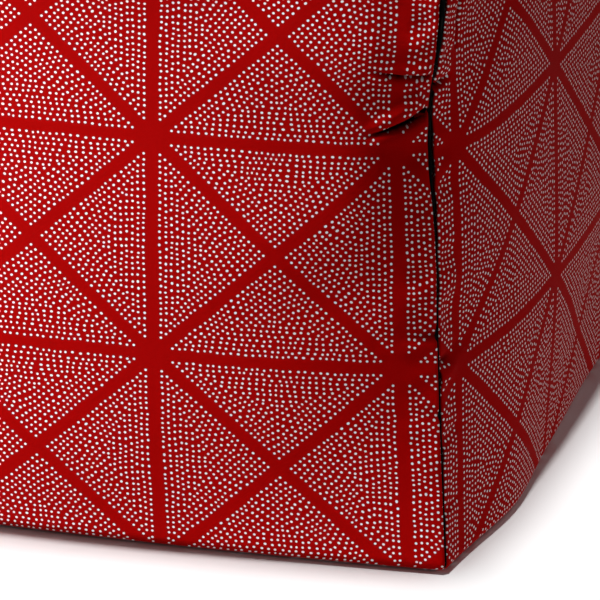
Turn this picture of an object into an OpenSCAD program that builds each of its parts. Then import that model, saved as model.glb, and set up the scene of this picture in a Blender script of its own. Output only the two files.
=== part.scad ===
// Cube pouf: a sewn cloth cover with a zip across its back, over a stuffed liner.
// Origin at the middle of the base, +Z up, the front faces -Y and the zip faces +Y.

/* [Cover] */
// Width and depth of the cover between its seams
cover_w = 434; // [340:1:560]
// Height of the cover between its seams
cover_h = 434; // [340:1:560]
// How far the middle of a side stands out beyond its seams
side_swell = 16; // [0:1:28]
// How far the middle of the top stands above its seams
top_swell = 18; // [0:1:30]
// How far the middle of a seam stands out beyond its corners
seam_swell = 5; // [0:0.5:10]
// Thickness of the printed cloth
cloth_t = 1; // [0.6:0.1:1.6]

/* [Seams] */
// Distance from a seam line to the edge of each panel
seam_gap = 1.4; // [1.2:0.1:2]
// Thickness of the two overlocked allowances together
allowance_t = 1.6; // [0.8:0.1:1.6]
// How deep an allowance reaches in behind each panel
allowance_d = 7.8; // [4:0.1:12]
// Distance from the end of an allowance to the corner's diagonal
allowance_end = 2.4; // [2:0.1:6]

/* [Zip] */
// Height of the zip's centre line above the base
zip_h = 45; // [35:1:90]
// Clearance between the widest part of the slider and the cloth edges beside it
opening_gap = 1.5; // [1.5:0.1:4]
// Distance from a side seam to the end of the chain
zip_end = 34; // [30:1:60]
// Width of each tape
tape_w = 14; // [10:0.5:18]
// Thickness of each tape
tape_t = 0.7; // [0.4:0.1:0.8]
// Distance from one tooth to the next in its row
tooth_pitch = 3; // [2.5:0.1:4]
// Width of both rows of teeth when they are closed
chain_w = 5.8; // [4.8:0.1:7]
// Thickness of the teeth
chain_t = 2.4; // [2:0.1:3]

/* [Slider and pull] */
// Length of the slider along the zip
slider_l = 12; // [10:0.5:15]
// Thickness of each of the slider's two plates
plate_t = 1.1; // [0.8:0.1:1.5]
// Thickness of the slider's side walls
wall_t = 1.1; // [0.8:0.1:1.5]
// Clearance between the slider and the chain, and under the pull
slide_fit = 0.3; // [0.3:0.05:0.4]
// Radius of the pull's bar
bar_r = 0.55; // [0.4:0.05:0.75]
// Clearance all round the bar in the slider's bore
bar_fit = 0.05; // [0.02:0.01:0.1]
// Length of the pull from its bar to its tip
pull_l = 29; // [20:1:35]
// Width of the pull
pull_w = 6.4; // [5.6:0.1:8]
// Thickness of the pull
pull_t = 1.2; // [1.2:0.1:1.6]

/* [Liner] */
// Distance from the cover's outer surface in to the liner
liner_gap = 10; // [9:0.5:20]
// Thickness of the liner's cloth
liner_t = 0.8; // [0.4:0.1:1.5]
// Distance from the liner in to the filling
filling_gap = 0.5; // [0.2:0.1:3]

/* [Hidden] */
half_w = cover_w / 2;
half_h = cover_h / 2;
// Clearances between sewn pieces, and steps across a panel, the liner and the filling
sewn_gap = 0.2;
tab_gap = 0.5;
panel_steps = 16;
liner_steps = 8;
// Rows of teeth
tooth_lap = 1;
tooth_fit = 0.2;
tooth_n = floor((cover_w - 2 * zip_end) / tooth_pitch);
row_l = tooth_n * tooth_pitch;
stop_l = 3;
stop_lip = 1;
// Slider: the chain ends short of the post that parts it
channel = chain_w / 2 + slide_fit;
channel_flare = 0.7;
slider_half = channel + channel_flare + wall_t;
plate_z = chain_t / 2 + slide_fit;
post_w = 2.6;
post_l = 3.2;
post_x = slider_l / 4;
slider_x = row_l / 2 - (post_x - post_l / 2 - 2 * slide_fit);
stop_x = slider_x + slider_l / 2 + slide_fit;
// Opening between the cloth edges, and the tabs that close it beyond the stops
zip_opening = 2 * (slider_half + opening_gap);
tab_start = stop_x + stop_l + tab_gap;
// The zip's own middle plane lies this far in from the cover's outer surface
zip_inset = cloth_t + sewn_gap + tape_t / 2;
// The back stays flat up to this height, as a fraction of half the height
flat_top = (zip_h + zip_opening / 2 + tape_w + sewn_gap) / half_h - 1;
corner_cut = 1.2;
// Crown and bar
crown_w = 2;
crown_wall = 0.85;
bar_z = plate_z + plate_t + slide_fit + pull_t / 2;
window_gap = 0.6;
hole_r = 1.6;
facets = 48;
tiny = 0.01;

cover_colour = [0.62, 0.07, 0.06];
thread_colour = [0.06, 0.05, 0.05];
tape_colour = [0.45, 0.02, 0.02];
teeth_colour = [0.50, 0.03, 0.03];
metal_colour = [0.72, 0.70, 0.66];
liner_colour = [0.90, 0.90, 0.88];
filling_colour = [0.97, 0.97, 0.95];

// ---- The stuffed form: a point of the plain box moves out as the filling pushes it ----

function dome(a, b) = (1 - a * a) * (1 - b * b);
function along_seams(a, b) = a * a * (1 - b * b) + b * b * (1 - a * a);
function above_zip(z) = max(0, (z - flat_top) / (1 - flat_top));
// The back swells only above the zip, most at two thirds of the way up
function back_dome(x, z) = let (t = above_zip(z)) (1 - x * x) * 6.75 * t * t * (1 - t);
function ease(t) = t * t * (3 - 2 * t);

function puff(q) =
    let (
        x = q[0] / half_w,
        y = q[1] / half_w,
        z = q[2] / half_h,
        out_x = side_swell * dome(y, z) + seam_swell * along_seams(y, z),
        out_y = y < 0
            ? side_swell * dome(x, z) + seam_swell * along_seams(x, z)
            : side_swell * back_dome(x, z) + seam_swell * along_seams(x, z) * ease(above_zip(z)),
        out_z = z > 0 ? top_swell * dome(x, y) + seam_swell * along_seams(x, y) : 0
    )
    [q[0] + x * out_x, q[1] + y * out_y, half_h + q[2] + z * out_z];

// u and v run from -1 to 1 across a face, seen from outside; inset is the depth behind it
function on_face(face, u, v, inset) =
    let (w = half_w - inset, h = half_h - inset)
    face == "front" ? [u * w, -w, v * h] :
    face == "right" ? [w, u * w, v * h] :
    face == "back" ? [-u * w, w, v * h] :
    face == "left" ? [-w, -u * w, v * h] :
    face == "top" ? [u * w, v * w, h] :
    [u * w, -v * w, -h];

function mix(range, t) = range[0] + (range[1] - range[0]) * t;
function trimmed(half) = 1 - seam_gap / half;
function full(half) = [-trimmed(half), trimmed(half)];

// Grid of points over part of a face, and the triangles between them
function grid_points(face, u, v, inset, n) =
    [for (j = [0:n], i = [0:n]) puff(on_face(face, mix(u, i / n), mix(v, j / n), inset))];
function grid_faces(n, first, outward) =
    [for (j = [0:n - 1], i = [0:n - 1], half = [0, 1])
        let (
            a = first + j * (n + 1) + i,
            b = a + 1,
            d = a + n + 1,
            c = d + 1,
            tri = half == 0 ? [a, c, b] : [a, d, c]
        )
        outward ? tri : [tri[0], tri[2], tri[1]]];
function rim_loop(n) = concat(
    [for (i = [0:n - 1]) i],
    [for (j = [0:n - 1]) j * (n + 1) + n],
    [for (i = [0:n - 1]) n * (n + 1) + n - i],
    [for (j = [0:n - 1]) (n - j) * (n + 1)]
);

// A sheet of cloth over part of a face, from one depth to another
module skin(face, u, v, outer, inner, n) {
    points = concat(grid_points(face, u, v, outer, n), grid_points(face, u, v, inner, n));
    layer = (n + 1) * (n + 1);
    rim = rim_loop(n);
    edge_faces = [for (k = [0:len(rim) - 1], half = [0, 1])
        let (p = rim[k], q = rim[(k + 1) % len(rim)])
        half == 0 ? [q + layer, p + layer, p] : [q + layer, p, q]];
    polyhedron(
        points = points,
        faces = concat(grid_faces(n, 0, true), grid_faces(n, layer, false), edge_faces),
        convexity = 4
    );
}

module side_panel(face) color(cover_colour)
    skin(face, full(half_w), full(half_h), 0, cloth_t, panel_steps);

module front_panel() side_panel("front");
module right_panel() side_panel("right");
module left_panel() side_panel("left");

// The back is in two, above and below the zip's opening
function at_height(z) = z / half_h - 1;
zip_edges = [at_height(zip_h - zip_opening / 2), at_height(zip_h + zip_opening / 2)];

module back_panel() color(cover_colour)
    skin("back", full(half_w), [zip_edges[1], trimmed(half_h)], 0, cloth_t, panel_steps);
module back_zip_strip() color(cover_colour)
    skin("back", full(half_w), [-trimmed(half_h), zip_edges[0]], 0, cloth_t, panel_steps);
module top_panel() color(cover_colour)
    skin("top", full(half_w), full(half_w), 0, cloth_t, panel_steps);
module bottom_panel() color(cover_colour)
    skin("bottom", full(half_w), full(half_w), 0, cloth_t, panel_steps);

// ---- Seam allowances: two raw edges overlocked together, turned in behind a seam ----

// along is the seam's axis, 0 for X, 1 for Y or 2 for Z; side holds the signs of the other two
module seam(along, side) {
    across = [for (a = [0:2]) if (a != along) a];
    halves = [half_w, half_w, half_h];
    depths = [allowance_t / 2, allowance_d];
    lean = [for (a = [0:2]) a == across[0] ? side[0] : a == across[1] ? -side[1] : 0];
    points = [for (i = [0:panel_steps], depth = depths, face = [-1, 1])
        let (
            reach = halves[along] - depth - allowance_end,
            t = mix([-reach, reach], i / panel_steps),
            q = [for (a = [0:2])
                a == along ? t :
                a == across[0] ? side[0] * (halves[a] - depth) :
                side[1] * (halves[a] - depth)]
        )
        puff(q) + face * allowance_t / 2 * lean / norm(lean)];
    ring = [0, 1, 3, 2];
    walls = [for (i = [0:panel_steps - 1], k = [0:3], half = [0, 1])
        let (
            p = 4 * i + ring[k],
            q = 4 * i + ring[(k + 1) % 4]
        )
        half == 0 ? [p, q, q + 4] : [p, q + 4, p + 4]];
    last = 4 * panel_steps;
    ends = [[0, 2, 3], [0, 3, 1], [last, last + 1, last + 3], [last, last + 3, last + 2]];
    loops = concat(walls, ends);
    turned = side[0] * side[1] * (along == 1 ? -1 : 1) > 0;
    color(thread_colour) polyhedron(
        points = points,
        faces = turned ? loops : [for (f = loops) [f[0], f[2], f[1]]],
        convexity = 4
    );
}

module seam_front_right() seam(2, [1, -1]);
module seam_front_left() seam(2, [-1, -1]);
module seam_back_right() seam(2, [1, 1]);
module seam_back_left() seam(2, [-1, 1]);
module seam_top_front() seam(0, [-1, 1]);
module seam_top_right() seam(1, [1, 1]);
module seam_top_back() seam(0, [1, 1]);
module seam_top_left() seam(1, [-1, 1]);
module seam_bottom_front() seam(0, [-1, -1]);
module seam_bottom_right() seam(1, [1, -1]);
module seam_bottom_back() seam(0, [1, -1]);
module seam_bottom_left() seam(1, [-1, -1]);

// ---- Zip, in its own plane: x along the zip seen from behind, y up, z out ----

module on_zip() translate([0, half_w - zip_inset, zip_h]) rotate([90, 0, 180]) children();

// A tape runs from the teeth to its outer edge, between the two side seams
module tape() translate([-(half_w - seam_gap - cloth_t - allowance_t), chain_w / 2, -tape_t / 2])
    cube([2 * (half_w - seam_gap - cloth_t - allowance_t), tape_w, tape_t]);

module zip_tape_upper() color(tape_colour) on_zip() tape();
module zip_tape_lower() color(tape_colour) on_zip() mirror([0, 1, 0]) tape();

// One row of teeth below the middle of the chain; shift moves its teeth along
module tooth_row(shift) {
    root = -(tooth_lap + tooth_fit);
    side_fit = tooth_fit / 2;
    teeth = [for (i = [tooth_n - 1:-1:0])
        let (x = -row_l / 2 + i * tooth_pitch + shift + side_fit)
        each [
            [x + tooth_pitch / 2 - 2 * side_fit, root],
            [x + tooth_pitch / 2 - 2 * side_fit, tooth_lap],
            [x, tooth_lap],
            [x, root]
        ]];
    linear_extrude(chain_t, center = true) polygon(concat(
        [[-row_l / 2, root], [-row_l / 2, -chain_w / 2], [row_l / 2, -chain_w / 2], [row_l / 2, root]],
        teeth
    ));
}

module zip_teeth_lower() color(teeth_colour) on_zip() tooth_row(0);
module zip_teeth_upper() color(teeth_colour) on_zip() mirror([0, 1, 0]) tooth_row(tooth_pitch / 2);

// A block that grips the tapes' edges
module clip(x, length, inner, outer) difference() {
    translate([x, inner, -plate_z]) cube([length, outer - inner, 2 * plate_z]);
    translate([x - tiny, chain_w / 2, -tape_t / 2 - sewn_gap / 4])
        cube([length + 2 * tiny, outer, tape_t + sewn_gap / 2]);
}

module both_rows() {
    children();
    mirror([0, 1, 0]) children();
}

module zip_top_stops() color(teeth_colour) on_zip() both_rows()
    clip(stop_x, stop_l, chain_w / 2 - stop_lip, channel + wall_t);

module zip_bottom_stop() color(teeth_colour) on_zip() both_rows()
    clip(-row_l / 2 - stop_l, stop_l, -tiny, channel + wall_t);

// Tabs of cover cloth sewn across the zip's ends, as far as the side seams
tab_end = puff([half_w - seam_gap, half_w, zip_h - half_h])[0] - cloth_t - sewn_gap;
tab_half = zip_opening / 2 - cloth_t - sewn_gap;

module end_tab() translate([tab_start, -tab_half, tape_t / 2 + sewn_gap])
    cube([tab_end - tab_start, 2 * tab_half, cloth_t]);

// Left and right are the pouf's own, seen from its front
module zip_end_tab_right() color(cover_colour) on_zip() mirror([1, 0, 0]) end_tab();
module zip_end_tab_left() color(cover_colour) on_zip() end_tab();

// Half outline of a slider plate, wider at the front where the rows part
module slider_outline(grow) {
    rear = channel + grow;
    front = rear + channel_flare;
    end = slider_l / 2;
    polygon([
        [-end, -rear + corner_cut], [-end + corner_cut, -rear],
        [end - corner_cut, -front], [end, -front + corner_cut],
        [end, front - corner_cut], [end - corner_cut, front],
        [-end + corner_cut, rear], [-end, rear - corner_cut]
    ]);
}

module channel_outline() polygon([
    [-slider_l, -channel], [slider_l, -channel - channel_flare],
    [slider_l, channel + channel_flare], [-slider_l, channel]
]);

module slider_plate() {
    translate([0, 0, plate_z]) linear_extrude(plate_t) slider_outline(wall_t);
    translate([0, 0, tape_t / 2 + slide_fit])
        linear_extrude(plate_z - tape_t / 2 - slide_fit + tiny) difference() {
            slider_outline(wall_t);
            channel_outline();
        }
}

module crown() difference() {
    union() {
        rotate([90, 0, 0]) cylinder(h = crown_w, r = bar_r + bar_fit + crown_wall, center = true, $fn = facets);
        translate([-(bar_r + bar_fit + crown_wall), -crown_w / 2, plate_z + plate_t / 2 - bar_z])
            cube([2 * (bar_r + bar_fit + crown_wall), crown_w, bar_z - plate_z - plate_t / 2]);
    }
    rotate([90, 0, 0]) cylinder(h = 2 * crown_w, r = bar_r + bar_fit, center = true, $fn = facets);
}

module zip_slider() color(metal_colour) on_zip() translate([slider_x, 0, 0]) {
    slider_plate();
    mirror([0, 0, 1]) slider_plate();
    // The post that joins the plates and parts the two rows
    linear_extrude(2 * plate_z + plate_t, center = true) polygon([
        [post_x - post_l / 2, 0], [post_x, -post_w / 2], [post_x + post_l / 2, 0], [post_x, post_w / 2]
    ]);
    translate([0, 0, bar_z]) crown();
}

module zip_pull() color(metal_colour) on_zip() translate([slider_x, 0, bar_z]) {
    crown_r = bar_r + bar_fit + crown_wall;
    neck = crown_r + slide_fit;
    inner = crown_w / 2 + window_gap;
    rotate([90, 0, 0]) cylinder(h = pull_w - 2 * tiny, r = bar_r, center = true, $fn = facets);
    both_rows() {
        translate([-neck - tiny, inner, -pull_t / 2]) cube([neck + tiny, pull_w / 2 - inner, pull_t]);
        translate([0, (inner + pull_w / 2) / 2, 0]) rotate([90, 0, 0])
            cylinder(h = pull_w / 2 - inner, r = pull_t / 2, center = true, $fn = facets);
    }
    difference() {
        union() {
            translate([-pull_l + pull_w / 2, -pull_w / 2, -pull_t / 2])
                cube([pull_l - pull_w / 2 - neck, pull_w, pull_t]);
            translate([-pull_l + pull_w / 2, 0, 0])
                cylinder(h = pull_t, r = pull_w / 2, center = true, $fn = facets);
        }
        translate([-pull_l + pull_w / 2, 0, 0])
            cylinder(h = 2 * pull_t, r = hole_r, center = true, $fn = facets);
    }
}

// ---- Liner bag and filling ----

// The four sides of the liner as one closed band
module liner_sides() {
    n = liner_steps;
    faces_round = ["front", "right", "back", "left"];
    v = full(half_h);
    function band(inset) = [for (j = [0:n], side = faces_round, i = [0:n - 1])
        puff(on_face(side, mix([-1, 1], i / n), mix(v, j / n), inset))];
    turn = 4 * n;
    layer = turn * (n + 1);
    walls = [for (j = [0:n - 1], i = [0:turn - 1], half = [0, 1])
        let (a = j * turn + i, b = j * turn + (i + 1) % turn, c = b + turn, d = a + turn)
        half == 0 ? [a, c, b] : [a, d, c]];
    inside = [for (f = walls) [f[0] + layer, f[2] + layer, f[1] + layer]];
    rims = [for (row = [0, n], i = [0:turn - 1], half = [0, 1])
        let (
            p = row * turn + (row == 0 ? i : (i + 1) % turn),
            q = row * turn + (row == 0 ? (i + 1) % turn : i)
        )
        half == 0 ? [q + layer, p + layer, p] : [q + layer, p, q]];
    color(liner_colour) polyhedron(
        points = concat(band(liner_gap), band(liner_gap + liner_t)),
        faces = concat(walls, inside, rims),
        convexity = 6
    );
}

module liner_top() color(liner_colour)
    skin("top", full(half_w), full(half_w), liner_gap, liner_gap + liner_t, liner_steps);
module liner_bottom() color(liner_colour)
    skin("bottom", full(half_w), full(half_w), liner_gap, liner_gap + liner_t, liner_steps);

module filling() {
    n = liner_steps;
    sides = ["front", "right", "back", "left", "top", "bottom"];
    depth = liner_gap + liner_t + filling_gap;
    layer = (n + 1) * (n + 1);
    color(filling_colour) polyhedron(
        points = [for (side = sides) each grid_points(side, [-1, 1], [-1, 1], depth, n)],
        faces = [for (k = [0:len(sides) - 1]) each grid_faces(n, k * layer, true)],
        convexity = 2
    );
}

front_panel();
right_panel();
left_panel();
back_panel();
back_zip_strip();
top_panel();
bottom_panel();
seam_front_right();
seam_front_left();
seam_back_right();
seam_back_left();
seam_top_front();
seam_top_right();
seam_top_back();
seam_top_left();
seam_bottom_front();
seam_bottom_right();
seam_bottom_back();
seam_bottom_left();
zip_tape_upper();
zip_tape_lower();
zip_teeth_upper();
zip_teeth_lower();
zip_top_stops();
zip_bottom_stop();
zip_end_tab_left();
zip_end_tab_right();
zip_slider();
zip_pull();
liner_sides();
liner_top();
liner_bottom();
filling();
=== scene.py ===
import bpy
import bmesh
import math
import numpy as np
from mathutils import Matrix, Vector


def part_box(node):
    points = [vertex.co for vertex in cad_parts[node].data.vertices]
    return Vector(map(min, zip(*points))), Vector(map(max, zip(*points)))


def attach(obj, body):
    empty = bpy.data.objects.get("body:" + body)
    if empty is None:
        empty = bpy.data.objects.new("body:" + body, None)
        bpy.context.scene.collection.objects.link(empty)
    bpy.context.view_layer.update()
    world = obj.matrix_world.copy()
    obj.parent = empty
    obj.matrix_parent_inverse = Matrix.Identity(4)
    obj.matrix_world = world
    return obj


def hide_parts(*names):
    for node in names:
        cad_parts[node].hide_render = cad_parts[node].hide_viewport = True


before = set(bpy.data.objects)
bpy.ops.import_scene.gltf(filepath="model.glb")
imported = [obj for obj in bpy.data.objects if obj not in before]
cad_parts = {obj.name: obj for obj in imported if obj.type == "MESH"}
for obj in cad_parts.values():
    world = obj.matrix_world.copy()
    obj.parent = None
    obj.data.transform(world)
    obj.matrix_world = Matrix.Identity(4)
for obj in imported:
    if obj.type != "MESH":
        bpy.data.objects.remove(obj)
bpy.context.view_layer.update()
scene = bpy.context.scene
mm = 0.001


def placed(name, data):
    made = bpy.data.objects.new(name, data)
    scene.collection.objects.link(made)
    return made


view = {"azimuth": 16.62, "elevation": 23.45, "lens": 386.3, "sensor": 36, "far": 30,
        "distance": 2.75, "aim": (0.1507, -0.217, 0.1217)}


def makeCamera():
    data = bpy.data.cameras.new("camera")
    data.lens = view["lens"]
    data.sensor_width = view["sensor"]
    data.clip_end = view["far"]
    cam = placed("camera", data)
    az, el = math.radians(view["azimuth"]), math.radians(view["elevation"])
    back = Vector((math.sin(az) * math.cos(el), -math.cos(az) * math.cos(el), math.sin(el)))
    cam.location = Vector(view["aim"]) + back * view["distance"]
    cam.rotation_euler = (-back).to_track_quat("-Z", "Y").to_euler()
    scene.camera = cam


makeCamera()


cover = {
    "side": 0.434,          # between seams, across
    "height": 0.434,        # between seams, up
    "steps": 56,            # cloth cells along a side while it is stuffed
    "cut": (0.0095, 0.013, -0.004, 0.0095),     # swell sewn into sides, top, seams and rims
    "full": (0.0127, 0.018, -0.0038, 0.0115),   # the same once it is stuffed
    "sag": 0.38,            # how far the fullest height has sunk, as a share of half the height
    "pressure": 0.8,
    "stiffness": 60,
    "bending": 2.0,
    "gather": 0.012,        # how much the thread draws the seams up
    "frames": 12,
    "cap": 0.006,           # furthest that a point may move
    "ironed": 14,           # rounds of smoothing away from the seams
    "zipTop": 0.066,        # the back stays flat up to here
    "settle": 0.14,         # below this the weight presses the cloth smooth
    "tuck": 0.006,          # radius of the lower edge, under which the cloth is tucked in
}
half = cover["side"] / 2
tall = cover["height"]
near = 1e-5

# The filling has sunk into the low front of the left and right sides, and left their
# middles slack: how far the cloth moves, how far from the front seam, and its reach
sunken = {"plump": 5.5 * mm, "plumpAt": 72 * mm, "plumpReach": 42 * mm,
          "slack": 3.5 * mm, "slackAt": 217 * mm, "slackReach": 60 * mm, "height": 70 * mm}

# corner, across and up of each side, seen from outside
sides = {
    "front": ((-half, -half, 0), (1, 0, 0), (0, 0, 1)),
    "right": ((half, -half, 0), (0, 1, 0), (0, 0, 1)),
    "back": ((half, half, 0), (-1, 0, 0), (0, 0, 1)),
    "left": ((-half, half, 0), (0, -1, 0), (0, 0, 1)),
    "top": ((-half, -half, tall), (1, 0, 0), (0, 1, 0)),
    "bottom": ((-half, half, 0), (1, 0, 0), (0, -1, 0)),
}


def upLength(side):
    return cover["side"] if side in ("top", "bottom") else cover["height"]


def swollen(flat, sideSwell, topSwell, seamSwell, rimSwell):
    x, y = flat[:, 0] / half, flat[:, 1] / half
    z = flat[:, 2] / (tall / 2) - 1
    sunk = z + cover["sag"] * (1 - z * z)
    zipLine = cover["zipTop"] / (tall / 2) - 1
    t = np.clip((z - zipLine) / (1 - zipLine), 0, 1)
    bowed = lambda a: ((1 - a * a) * (sideSwell * (1 - sunk ** 2) + rimSwell * z * z)
                       + seamSwell * a * a * (1 - sunk ** 2))
    backDome = sideSwell * (1 - x * x) * 6.75 * t * t * (1 - t) + rimSwell * (1 - x * x) * t ** 4
    back = backDome + seamSwell * x * x * (1 - sunk ** 2) * t * t * (3 - 2 * t)
    outX = bowed(y)
    outY = np.where(y < 0, bowed(x), back)
    rim = x * x * (1 - y * y) + y * y * (1 - x * x)
    outZ = np.where(z > 0, topSwell * (1 - x * x) * (1 - y * y) + seamSwell * rim, 0)
    return flat + np.stack([x * outX, y * outY, z * outZ], axis=1)


# the thread draws the middle of every seam in, and those round the top by a share of it
pinch = {"depth": 9.5 * mm, "middle": 216 * mm, "below": 48 * mm, "above": 24 * mm, "spread": 27 * mm,
         "top": 0.6}


def drawnIn(flat):
    x, y, z = flat.T
    toSide, toFront, toTop = half - np.abs(x), half - np.abs(y), tall - z
    moved = np.zeros_like(flat)
    for s, along, inward, share in (
        (np.maximum(toSide, toFront), z - pinch["middle"], (-np.sign(x), -np.sign(y), 0 * z), 1),
        (np.maximum(toSide, toTop), -np.abs(y), (-np.sign(x), 0 * y, 0 * z - 1), pinch["top"]),
        (np.maximum(toFront, toTop), -np.abs(x), (0 * x, -np.sign(y), 0 * z - 1), pinch["top"]),
    ):
        reach = np.where(along < 0, pinch["below"], pinch["above"])
        depth = share * pinch["depth"] * np.exp(-(along / reach) ** 2 - (s / pinch["spread"]) ** 1.5)
        moved += (depth / math.sqrt(2) * np.stack(inward)).T
    return moved


def positions(mesh):
    co = np.empty(len(mesh.vertices) * 3, np.float32)
    mesh.vertices.foreach_get("co", co)
    return co.reshape(-1, 3).astype(float)


def moveTo(mesh, points):
    mesh.vertices.foreach_set("co", points.astype(np.float32).ravel())


def meshFrom(bm, name):
    mesh = bpy.data.meshes.new(name)
    bm.to_mesh(mesh)
    bm.free()
    return mesh


def cubeMesh(name):
    bm = bmesh.new()
    bmesh.ops.create_cube(bm, size=1)
    bmesh.ops.scale(bm, vec=(2 * half, 2 * half, tall), verts=bm.verts)
    bmesh.ops.translate(bm, vec=(0, 0, tall / 2), verts=bm.verts)
    bmesh.ops.subdivide_edges(bm, edges=bm.edges[:], cuts=cover["steps"] - 1, use_grid_fill=True)
    return meshFrom(bm, name)


def stuffCover():
    mesh = cubeMesh("stuffing")
    flat = positions(mesh)
    start = swollen(flat, *cover["cut"])
    moveTo(mesh, start)
    body = placed("stuffing", mesh)
    onFloor = flat[:, 2] < near
    onZip = (flat[:, 1] > half - near) & (flat[:, 2] < cover["zipTop"])
    pinned = body.vertex_groups.new(name="pinned")
    pinned.add([int(i) for i in np.where(onFloor | onZip)[0]], 1, "ADD")
    edges = (np.abs(np.abs(flat[:, :2]) - half) < near).sum(1) + (flat[:, 2] > tall - near) + onFloor
    seams = body.vertex_groups.new(name="seams")
    seams.add([int(i) for i in np.where(edges >= 2)[0]], 1, "ADD")
    cloth = body.modifiers.new("cloth", "CLOTH")
    s = cloth.settings
    s.quality = 6
    s.mass = 0.3
    s.tension_stiffness = s.compression_stiffness = s.shear_stiffness = cover["stiffness"]
    s.bending_stiffness = cover["bending"]
    s.use_pressure = True
    s.uniform_pressure_force = cover["pressure"]
    s.effector_weights.gravity = 0
    s.vertex_group_mass = "pinned"
    s.vertex_group_shrink = "seams"
    s.shrink_max = cover["gather"]
    cloth.collision_settings.use_collision = False
    cloth.point_cache.frame_end = cover["frames"]
    for f in range(1, cover["frames"] + 1):
        scene.frame_set(f)
    graph = bpy.context.evaluated_depsgraph_get()
    moved = positions(body.evaluated_get(graph).data) - start
    scene.frame_set(1)
    bpy.data.objects.remove(body)
    bpy.data.meshes.remove(mesh)
    far = np.linalg.norm(moved, axis=1, keepdims=True)
    moved *= np.minimum(1, cover["cap"] / np.maximum(far, 1e-9))
    full = swollen(flat, *cover["full"])
    settled = np.clip(flat[:, 2:] / cover["settle"], 0, 1)
    settled = settled * settled * (3 - 2 * settled)
    stuffed = full + settled * (ironed(flat, start + moved) - full)
    stuffed[:, 0] += lowSwell(flat)
    stuffed[:, 2] = np.maximum(stuffed[:, 2], 0)
    return flat, stuffed


def lowSwell(flat):
    x, y, z = flat.T
    along = half + y
    plump = sunken["plump"] * np.exp(-((along - sunken["plumpAt"]) / sunken["plumpReach"]) ** 2)
    slack = sunken["slack"] * np.exp(-((along - sunken["slackAt"]) / sunken["slackReach"]) ** 2)
    outside = np.sign(x) * (np.abs(x) / half) ** 4
    return (plump - slack) * outside * np.exp(-(z / sunken["height"]) ** 2)


def ironed(flat, stuffed):
    # the tight filling presses creases out of the middle of each side
    mesh = cubeMesh("ironing")
    moveTo(mesh, stuffed)
    bm = bmesh.new()
    bm.from_mesh(mesh)
    x, y, z = flat.T
    fromEdges = np.stack([half - np.abs(x), half - np.abs(y), z, tall - z])
    fromSeam = np.sort(fromEdges, axis=0)[1]
    cell = cover["side"] / cover["steps"]
    for k in range(cover["ironed"]):
        reach = (1.5 + 2 * (k % 3)) * cell
        inner = [v for v in bm.verts if fromSeam[v.index] > reach and z[v.index] > cell / 2]
        bmesh.ops.smooth_vert(bm, verts=inner, factor=0.5, use_axis_x=True, use_axis_y=True, use_axis_z=True)
    bm.to_mesh(mesh)
    bm.free()
    pressed = positions(mesh)
    bpy.data.meshes.remove(mesh)
    return pressed


flatPoints, stuffedPoints = stuffCover()
stuffedPoints += drawnIn(flatPoints)
print("form stuffed")


def sideGrid(side):
    corner, across, up = (np.array(v, float) for v in sides[side])
    rel = flatPoints - corner
    out = np.cross(across, up)
    here = np.abs(rel @ out) < near
    n = cover["steps"]
    cell = cover["side"] / n
    rise = upLength(side) / n
    i = np.rint(rel[here] @ across / cell).astype(int)
    j = np.rint(rel[here] @ up / rise).astype(int)
    grid = np.zeros((n + 1, n + 1, 3))
    grid[j, i] = stuffedPoints[here]
    return grid


def splineRows(at, n):
    # each row weighs the n + 1 grid lines for one place, by a Catmull-Rom spline
    t = np.clip(at, 0, 1) * n
    k = np.minimum(t.astype(int), n - 1)
    f = t - k
    weights = [
        -0.5 * f + f ** 2 - 0.5 * f ** 3,
        1 - 2.5 * f ** 2 + 1.5 * f ** 3,
        0.5 * f + 2 * f ** 2 - 1.5 * f ** 3,
        -0.5 * f ** 2 + 0.5 * f ** 3,
    ]
    rows = np.zeros((len(at), n + 1))
    each = np.arange(len(at))
    for step, w in zip((-1, 0, 1, 2), weights):
        index = k + step
        low, high = index < 0, index > n
        np.add.at(rows, (each, np.clip(index, 0, n)), np.where(low | high, 2 * w, w))
        np.add.at(rows, (each[low], np.full(low.sum(), 1)), -w[low])
        np.add.at(rows, (each[high], np.full(high.sum(), n - 1)), -w[high])
    return rows


# Places are (distance from the seam, height) in mm on the flat cloth. A fold starts at
# its seam and dies away at its end. Slope is how far the cloth above runs down into it,
# roll how far that cloth stands out, and slip how far it hangs over
frontRight = {
    "front": [
        {"from": (1.5, 270), "to": (40, 276), "bow": -1, "depth": 6, "width": 2.0, "slope": 6},
        {"from": (4, 230.5), "to": (31, 234), "bow": -1.5, "depth": 7.5, "width": 1.5, "slope": 18,
         "roll": 2.6, "slip": 2.4},
        {"from": (3.5, 213.5), "to": (32, 203.5), "bow": -1.5, "depth": 11, "width": 2.2, "slope": 6,
         "roll": 4, "slip": 3.2},
        {"from": (0, 112), "to": (30, 108), "bow": 0, "depth": 2.2, "width": 2, "slope": 5},
        {"from": (2, 74), "to": (26, 71), "bow": 0, "depth": 1.2, "width": 2, "slope": 5},
    ],
    "right": [
        {"from": (1, 224), "to": (14, 227), "bow": 0, "depth": 6, "width": 1.1, "slope": 4},
        {"from": (17, 284), "to": (18, 238), "bow": 0, "depth": 22, "width": 3.6, "slope": 5},
        {"from": (0, 97), "to": (30, 103), "bow": 1, "depth": 2.5, "width": 2, "slope": 5},
        {"from": (0, 62), "to": (22, 66), "bow": 0, "depth": 2, "width": 2, "slope": 5},
        {"from": (0, 30), "to": (18, 33), "bow": 0, "depth": 1.4, "width": 2, "slope": 5},
    ],
}
# where the front right seam gapes: height, reach and how wide, in mm
gape = [(190, 22, 1.2), (257, 19, 2.6)]
gapeSpread = 6
gapeEdges = {"front": 1, "right": 0}     # the sides that meet there, and their own edge
foldMiddle = (186, 252)     # heights where folds gather, in mm
rng = np.random.default_rng(11)


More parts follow.
